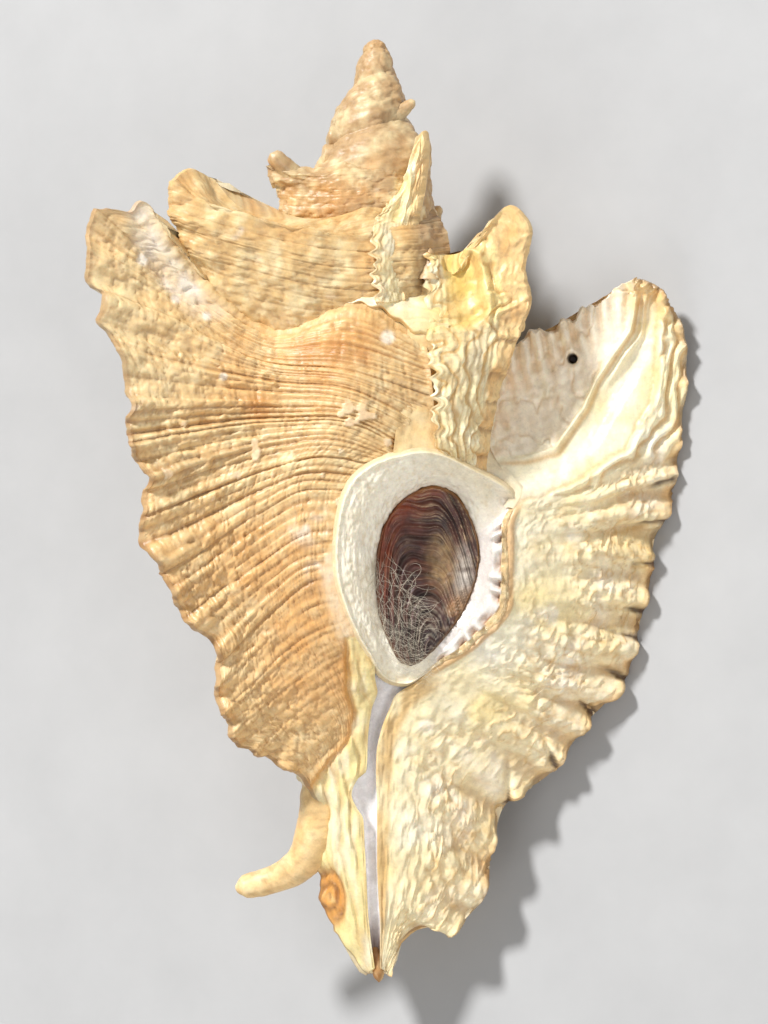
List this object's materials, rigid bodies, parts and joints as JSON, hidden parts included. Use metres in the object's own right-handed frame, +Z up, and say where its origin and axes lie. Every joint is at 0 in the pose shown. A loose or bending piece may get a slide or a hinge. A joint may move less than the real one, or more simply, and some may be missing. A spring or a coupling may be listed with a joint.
{
  "type": "murex shell",
  "caption": "Three-winged murex shell with a tall horned spire, lying opening up, its dark horny lid held in place by a tuft of cotton.",
  "frame": {"origin": "centre of the bounding box in plan, on the surface that the shell lies on", "axes": "+Y along the shell from the canal towards the apex, +Z up; the opening faces up and to the +X side"},
  "size_m": [0.0538, 0.099, 0.0425],
  "materials": {
    "shell_lime": "satin natural shell",
    "horn": "satin horn",
    "cotton": "matt fibre"
  },
  "bodies": {
    "root": {"shell": "shell_lime", "operculum": "horn", "cotton_wad": "cotton"}
  },
  "joints": []
}
